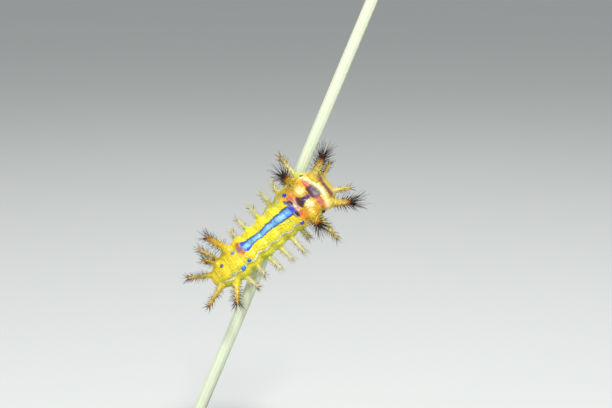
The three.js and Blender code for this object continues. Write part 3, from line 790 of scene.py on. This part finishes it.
# Each spine's small patch of the map: its side, and the strip of the map where the patches stand
SPINE_PATCH = 0.003
PATCH_START, PATCH_REACH = (0.08, 0.03), (0.84, 0.94)
BLACK, DARK_ROOT, ROOT_TINT = linear(22, 14, 12), linear(74, 40, 22), 0.6
GLASSY, GLASSY_TIP, TIP_TINT = linear(236, 234, 204), linear(150, 120, 60), 0.7
random = np.random.default_rng(4137)
spine_parts = {"dark_spines": [], "pale_spines": []}
for number, (station, degrees, lean, length, radius, kind) in enumerate(SCOLI.values()):
    count, reaches, tilts, dark_share, gather = SPINE_SETS[kind]
    tip_share = KINDS[kind][0]
    foot, way, first, second = shaft_frame(station, degrees, lean)
    for index in range(count):
        share = SPINE_ZONE[0] + SPINE_ZONE[1] * ((index + 0.5) / count) ** gather
        around = math.radians(index * SPINE_TURN + random.uniform(-TURN_PLAY, TURN_PLAY))
        spoke = first * math.cos(around) + second * math.sin(around)
        tilt = tilts[0] + (tilts[1] - tilts[0]) * share**TILT_EASE + random.uniform(-TILT_PLAY, TILT_PLAY)
        heading = way * math.cos(math.radians(tilt)) + spoke * math.sin(math.radians(tilt))
        width = float(shaft_width(np.array(share), radius, tip_share))
        root = foot + way * length * share + spoke * width * SPINE_SINK
        reach = reaches[0] + (reaches[1] - reaches[0]) * share**LENGTH_EASE
        reach = reach * random.uniform(*LENGTH_PLAY) + width * LENGTH_BY_WIDTH
        dark = random.uniform() < dark_share * (DARK_AT_FOOT + DARK_GAIN * share)
        place = ((number + PATCH_START[0] + PATCH_REACH[0] * (around / (2 * math.pi) % 1)) / len(SCOLI),
                 PATCH_START[1] + PATCH_REACH[1] * share)
        bend = way * random.uniform(*BEND_ALONG) + spoke * random.uniform(-BEND_ACROSS, BEND_ACROSS)
        spine_parts["dark_spines" if dark else "pale_spines"].append((root, heading, reach, place, bend))

spine_finishes = {
    "dark_spines": Finish("dark_spine", Roughness=0.35, Coat_Weight=0.2),
    "pale_spines": Finish("pale_spine", Roughness=0.3, Coat_Weight=0.3),
}
for name, spines in spine_parts.items():
    roots, headings, reaches, places, bends = [np.array(column) for column in zip(*spines)]
    side = unit(np.cross(headings, [0.0, 0.0, 1.0]))[:, None, None]
    other = np.cross(headings[:, None, None], side)
    share_grid, around_grid = np.meshgrid(np.linspace(0, LAST_RING, SPINE_RINGS), circle(SPINE_SIDES),
                                          indexing="ij")
    share = share_grid[None, :, :1]
    middle = roots[:, None] + (headings[:, None] * share + bends[:, None] * share**2) * reaches[:, None, None]
    spoke = side * np.cos(around_grid)[..., None] + other * np.sin(around_grid)[..., None]
    rings = middle[:, :, None] + spoke * (SPINE_RADIUS * (1 - SPINE_TAPER * share_grid))[..., None]
    tips = roots + (headings + bends) * reaches[:, None]
    points = np.concatenate([rings.reshape(len(spines), -1, 3), tips[:, None]], axis=1)
    index = np.arange(SPINE_RINGS * SPINE_SIDES).reshape(SPINE_RINGS, SPINE_SIDES)
    after = np.roll(index, -1, axis=1)
    walls = np.stack([index[:-1], index[1:], after[1:], after[:-1]], axis=-1).reshape(-1, 4)
    ends = np.stack([index[-1], np.full(SPINE_SIDES, index.size), after[-1]], axis=-1)
    faces = [face for part in (walls, ends, index[:1])
             for face in repeated(part, len(spines), points.shape[1])]
    patch_u = np.append((around_grid / (2 * np.pi) - 0.5).ravel(), 0.0)
    patch_v = np.append((share_grid - 0.5).ravel(), 0.5)
    patch = places[:, None, :] + SPINE_PATCH * np.stack([patch_u, patch_v], axis=-1)[None]
    along = np.append(share_grid.ravel(), 1.0)
    if name == "dark_spines":
        shade = BLACK + (DARK_ROOT - BLACK) * (1 - along)[:, None] * ROOT_TINT
    else:
        shade = GLASSY + (GLASSY_TIP - GLASSY) * (along**2)[:, None] * TIP_TINT
    shade = np.broadcast_to(shade, (len(spines),) + shade.shape).reshape(-1, 3)
    piece = solid_mesh(name, points.reshape(-1, 3), faces, maps={"OFBake": patch.reshape(-1, 2)},
                       values={"pigment": shade})
    finish = spine_finishes[name]
    painted = finish.attribute("pigment")
    tinted = finish.mix(0.35, painted, (0.5, 0.4, 0.3, 1.0), "MULTIPLY")
    finish.grained(finish.noise(2600.0, 2.0), tinted, painted, 0.25, 0.5)
    piece.data.materials.append(finish.material)
    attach(piece, "root")

# Head and legs: a small smooth capsule of hard brown skin, drawn back under the hood of the thorax, with a
# cleft crown, two jaws and a row of tiny eyes at each side; and behind it, on the belly, three pairs of short
# true legs.
HEAD_STATION = 29.4
HEAD_DROP = 2.5
HEAD_RADII = (1.35, 1.1, 1.25)
HEAD_CLEFT, CLEFT_WIDTH = 0.08, 0.12
# The jaws' place from the head's middle: to the side, ahead and down
JAW_PLACE = (0.32, 0.5, 1.0)
JAW_RADII = (0.42, 0.36, 0.4)
# The eyes stand on an arc at each side: first angle, step, side, how far it reaches ahead, its middle and
# half height
EYE_COUNT, EYE_START, EYE_STEP, EYE_RADIUS = 5, -50, 24, 0.085
EYE_SIDE, EYE_AHEAD, EYE_MIDDLE, EYE_RISE = 0.86, 0.42, -0.30, 0.34
LEG_STATIONS = (24.4, 26.1, 27.8)
LEG_LENGTH, LEG_ROOT, LEG_TIP = 1.9, 0.38, 0.10
# How far each leg's root stands to the side and up inside the belly, and how far the leg splays
LEG_SIDE, LEG_SINK, LEG_SPLAY = 1.3, 0.9, 0.35
LEG_JOINTS, JOINT_SWELL = 3, 0.12
LEG_RINGS, LEG_SIDES = 30, 20
head_centre, head_right, head_back = axes_at(HEAD_STATION)
head_centre = head_centre - head_back * HEAD_DROP


def ball_piece(name, centre, ways, radii, cleft=0.0, sides=48, rings=32):
    """An ellipsoid on three ways, with a shallow cleft along its middle plane from front to back."""
    theta, phi = np.meshgrid(np.linspace(0, np.pi, rings)[1:-1], circle(sides), indexing="ij")
    local = np.stack([np.sin(theta) * np.cos(phi), np.cos(theta), np.sin(theta) * np.sin(phi)], axis=-1)
    local = local * (1 - cleft * bell(local[..., :1], CLEFT_WIDTH) * np.clip(local[..., 2:], 0, 1))
    basis = np.array(ways) * np.array(radii)[:, None]
    return closed_tube(name, centre + local @ basis, centre + basis[1], centre - basis[1])


head_ways = (head_right, AHEAD, head_back)
head_finish = Finish("head_horn", Coat_Weight=0.4, Coat_Roughness=0.1)
head_noise = head_finish.noise(1500.0, 3.0)
head_finish.grained(head_noise, (0.20, 0.10, 0.03, 1.0), (0.45, 0.28, 0.08, 1.0), 0.2, 0.4)
head_finish.bumps(head_noise, 0.00004, 0.5)
eye_finish = Finish("eye_black", Roughness=0.1, Coat_Weight=0.8)
eye_finish.feed("Base Color", eye_finish.mix(eye_finish.noise(4000.0), (0.01, 0.006, 0.004, 1.0),
                                             (0.03, 0.015, 0.01, 1.0)))
head = ball_piece("head_capsule", head_centre, head_ways, HEAD_RADII, cleft=HEAD_CLEFT)
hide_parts("head")
head_pieces = [(head, head_finish)]
for side, word in ((-1, "left"), (1, "right")):
    jaw_centre = (head_centre + head_right * JAW_PLACE[0] * side + AHEAD * JAW_PLACE[1]
                  - head_back * JAW_PLACE[2])
    jaw = ball_piece(f"jaw_{word}", jaw_centre, head_ways, JAW_RADII, sides=28, rings=18)
    head_pieces.append((jaw, head_finish))
    for number in range(EYE_COUNT):
        swing = math.radians(EYE_START + EYE_STEP * number)
        out = unit([EYE_SIDE * side, EYE_AHEAD * math.cos(swing), EYE_MIDDLE + EYE_RISE * math.sin(swing)])
        eye_centre = head_centre + (out * HEAD_RADII) @ np.array(head_ways)
        eye = ball_piece(f"eye_{word}_{number + 1}", eye_centre, head_ways, (EYE_RADIUS,) * 3,
                         sides=16, rings=12)
        head_pieces.append((eye, eye_finish))
leg_finish = Finish("leg_horn", Coat_Weight=0.3)
leg_finish.grained(leg_finish.noise(1500.0), (0.45, 0.40, 0.10, 1.0), (0.30, 0.18, 0.05, 1.0), 0.25, 0.45)
for number, station in enumerate(LEG_STATIONS):
    centre, right, back = axes_at(station)
    for side, word in ((-1, "left"), (1, "right")):
        top = (centre + right * side * LEG_SIDE
               - back * (BELLY_FLATTENING * eased(HALF_HEIGHT, station) - LEG_SINK))
        way = unit(right * side * LEG_SPLAY - back)
        first = unit(np.cross(way, AHEAD))
        share, around = np.meshgrid(np.linspace(0, 1, LEG_RINGS), circle(LEG_SIDES), indexing="ij")
        width = ((LEG_ROOT + (LEG_TIP - LEG_ROOT) * share)
                 * (1 + JOINT_SWELL * np.sin(share * LEG_JOINTS * 2 * np.pi)))
        spokes = first * np.cos(around)[..., None] + np.cross(way, first) * np.sin(around)[..., None]
        rings = top + way * (share * LEG_LENGTH)[..., None] + spokes * width[..., None]
        leg = closed_tube(f"leg_{word}_{number + 1}", rings, top, top + way * LEG_LENGTH)
        head_pieces.append((leg, leg_finish))
for piece, finish in head_pieces:
    piece.data.materials.append(finish.material)
    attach(piece, "root")

# Stem: a short cut length of a smooth, waxy herb stalk, whitish green, with faint ribs along it, and olive
# painted down one side as shade. The larva's sole grips it, and its cut foot stands in the rod.
STEM_SIDES = 120
STEM_RINGS = 200
STEM_SKIN_SHARE = 0.99
# Eleven ribs, and a slow three-sided swell that turns along the stem
STEM_RIBS, RIB_HEIGHT = 11, 0.015
SWELL_SIDES, SWELL_HEIGHT, SWELL_TURN = 3, 0.008, 0.05
# The rounded lip of each cut end: depths, and share of the radius there
LIP_DEPTHS = np.array([0.0, 0.02, 0.06, 0.12])
LIP_RIMS = np.array([0.92, 0.97, 0.995, 1.0])
LIP_END = 0.3
# Olive painted as shade down one side of the stem: its spread in radians and its strength; and olive on the
# ribs
SHADE_SPREAD, SHADE_STRENGTH, OLIVE_IN_RIBS = 0.35, 0.7, 0.16
CUT_SHADE = 0.7
stem_foot = STEM_CROSSING - STEM_WAY * STEM_BELOW
stem_side = np.array([math.cos(STEM_LEAN), 0.0, -math.sin(STEM_LEAN)])
stem_back = np.array([0.0, 1.0, 0.0])
stem_length = STEM_BELOW + STEM_ABOVE
stem_places = np.concatenate([LIP_DEPTHS, np.linspace(LIP_END, stem_length - LIP_END, STEM_RINGS),
                              stem_length - LIP_DEPTHS[::-1]])
stem_rims = np.concatenate([LIP_RIMS, np.ones(STEM_RINGS), LIP_RIMS[::-1]])
place_grid, around_grid = np.meshgrid(stem_places, circle(STEM_SIDES), indexing="ij")
rib_wave = np.cos(STEM_RIBS * around_grid)
ribs = 1 - RIB_HEIGHT + RIB_HEIGHT * rib_wave
ribs = ribs - SWELL_HEIGHT * np.cos(SWELL_SIDES * around_grid + place_grid * SWELL_TURN)
stem_spokes = stem_side * np.cos(around_grid)[..., None] + stem_back * np.sin(around_grid)[..., None]
stem_rings = stem_foot + STEM_WAY * place_grid[..., None]
stem_rings = stem_rings + stem_spokes * (STEM_RADIUS * STEM_SKIN_SHARE * ribs * stem_rims[:, None])[..., None]
stem_map = np.column_stack([
    np.append(around_grid.ravel() / (2 * np.pi), [0.5, 0.5]),
    np.append(place_grid.ravel() / stem_length, [0.0, 1.0]),
])
stem_pale, olive_for_ribs_and_shade = linear(230, 238, 212), linear(176, 186, 108)
# The olive is painted shade down one side of the stem, plus a little colour on each rib
from_shaded_side = np.mod(around_grid + np.pi, 2 * np.pi) - np.pi
stem_shade = spread_over(np.broadcast_to(stem_pale, around_grid.shape + (3,)), olive_for_ribs_and_shade,
                         SHADE_STRENGTH * bell(from_shaded_side, SHADE_SPREAD) + OLIVE_IN_RIBS * rib_wave)
stem_shade = np.vstack([stem_shade.reshape(-1, 3), stem_pale * CUT_SHADE, stem_pale * CUT_SHADE])
stem = closed_tube("stem_skin", stem_rings, stem_foot, stem_foot + STEM_WAY * stem_length,
                   maps={"stem_map": stem_map}, values={"pigment": stem_shade})
stem_finish = Finish("stem_wax", Subsurface_Weight=0.2, Subsurface_Radius=(0.6, 0.9, 0.3),
                     Subsurface_Scale=0.0006, Coat_Roughness=0.3)
stem_mottle = stem_finish.noise(420.0, 4.0)
stretched = stem_finish.add("ShaderNodeMapping", values={
    "Vector": stem_finish.add("ShaderNodeUVMap", {"uv_map": "stem_map"}), "Scale": (60.0, 6.0, 1.0)})
fibres = stem_finish.add("ShaderNodeTexNoise", values={"Vector": stretched, "Scale": 1.0, "Detail": 3.0})
painted = stem_finish.attribute("pigment")
shadow = stem_finish.mix(0.6, painted, (0.84, 0.88, 0.74, 1.0), "MULTIPLY")
stem_finish.feed("Base Color", stem_finish.mix(0.5 * fibres, painted, shadow))
stem_finish.feed("Roughness", stem_finish.between(stem_mottle, 0.38, 0.58))
stem_finish.feed("Coat Weight", stem_finish.between(stem_mottle, 0.05, 0.25))
stem_finish.bumps(fibres * 0.7 + stem_mottle * 0.3, 0.00008, 0.5)
stem.data.materials.append(stem_finish.material)
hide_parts("stem")
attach(stem, "root")

# Stand: a satin black acrylic plate with chamfered edges, and a brushed steel rod set into it at the stem's
# slope.
plate_finish = Finish("black_acrylic", Coat_Weight=0.25, Coat_Roughness=0.2)
plate_noise = plate_finish.noise(240.0, 5.0, 0.7)
plate_finish.grained(plate_noise, (0.012, 0.012, 0.014, 1.0), (0.03, 0.03, 0.033, 1.0), 0.26, 0.42)
plate_finish.bumps(plate_noise, 0.00002, 0.3)
rod_finish = Finish("brushed_rod", Metallic=1.0)
brushed = rod_finish.add("ShaderNodeMapping", values={
    "Vector": rod_finish.places(), "Scale": (200.0, 200.0, 9000.0)})
brush_marks = rod_finish.add("ShaderNodeTexNoise", values={"Vector": brushed, "Scale": 1.0, "Detail": 4.0})
rod_finish.grained(brush_marks, (0.42, 0.43, 0.44, 1.0), (0.66, 0.67, 0.68, 1.0), 0.24, 0.4)
rod_finish.bumps(brush_marks, 0.00001, 0.4)
for node, finish in (("stand_base", plate_finish), ("stand_rod", rod_finish)):
    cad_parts[node].data.materials.clear()
    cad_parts[node].data.materials.append(finish.material)

# Floor and light: a plain pale floor that fills the view behind the specimen, a large soft light over the
# viewer's right shoulder, a weaker one at the left and an even pale sky.
FLOOR_HALF = 12.0
floor_mesh = bpy.data.meshes.new("floor")
floor_corners = [(-1, -1, 0), (1, -1, 0), (1, 1, 0), (-1, 1, 0)]
floor_mesh.from_pydata((FLOOR_HALF * np.array(floor_corners)).tolist(), [], [(0, 1, 2, 3)])
floor = bpy.data.objects.new("floor", floor_mesh)
bpy.context.scene.collection.objects.link(floor)
floor_finish = Finish("floor_paper", Roughness=0.85, Specular_IOR_Level=0.1)
floor_finish.feed("Base Color", floor_finish.mix(floor_finish.noise(3.0), (0.70, 0.71, 0.69, 1.0),
                                                 (0.74, 0.75, 0.73, 1.0)))
floor_mesh.materials.append(floor_finish.material)
# Each light: name, place from the specimen's middle in metres, width, watts
LIGHTS = [
    ("key_light", (0.14, -0.30, 0.46), 0.12, 2.7),
    ("fill_light", (-0.40, -0.30, 0.22), 0.30, 0.6),
    ("top_light", (-0.05, 0.22, 0.50), 0.30, 0.7),
]
target = placed([0.0, 0.0, 0.0])
for name, place, size, power in LIGHTS:
    light_data = bpy.data.lights.new(name, "AREA")
    light_data.shape = "DISK"
    light_data.size = size
    light_data.energy = power
    light = bpy.data.objects.new(name, light_data)
    light.location = np.array(place) + target
    aside, away, up = place
    light.rotation_euler = (math.atan2(math.hypot(aside, away), up), 0.0, math.atan2(aside, -away))
    bpy.context.scene.collection.objects.link(light)
SKY_COLOUR = (0.86, 0.90, 0.92, 1.0)
SKY_STRENGTH = 0.46
world = bpy.data.worlds.new("pale_sky")
world.use_nodes = True
world.node_tree.nodes["Background"].inputs["Color"].default_value = SKY_COLOUR
world.node_tree.nodes["Background"].inputs["Strength"].default_value = SKY_STRENGTH
bpy.context.scene.world = world
bpy.context.scene.view_settings.view_transform = "Standard"
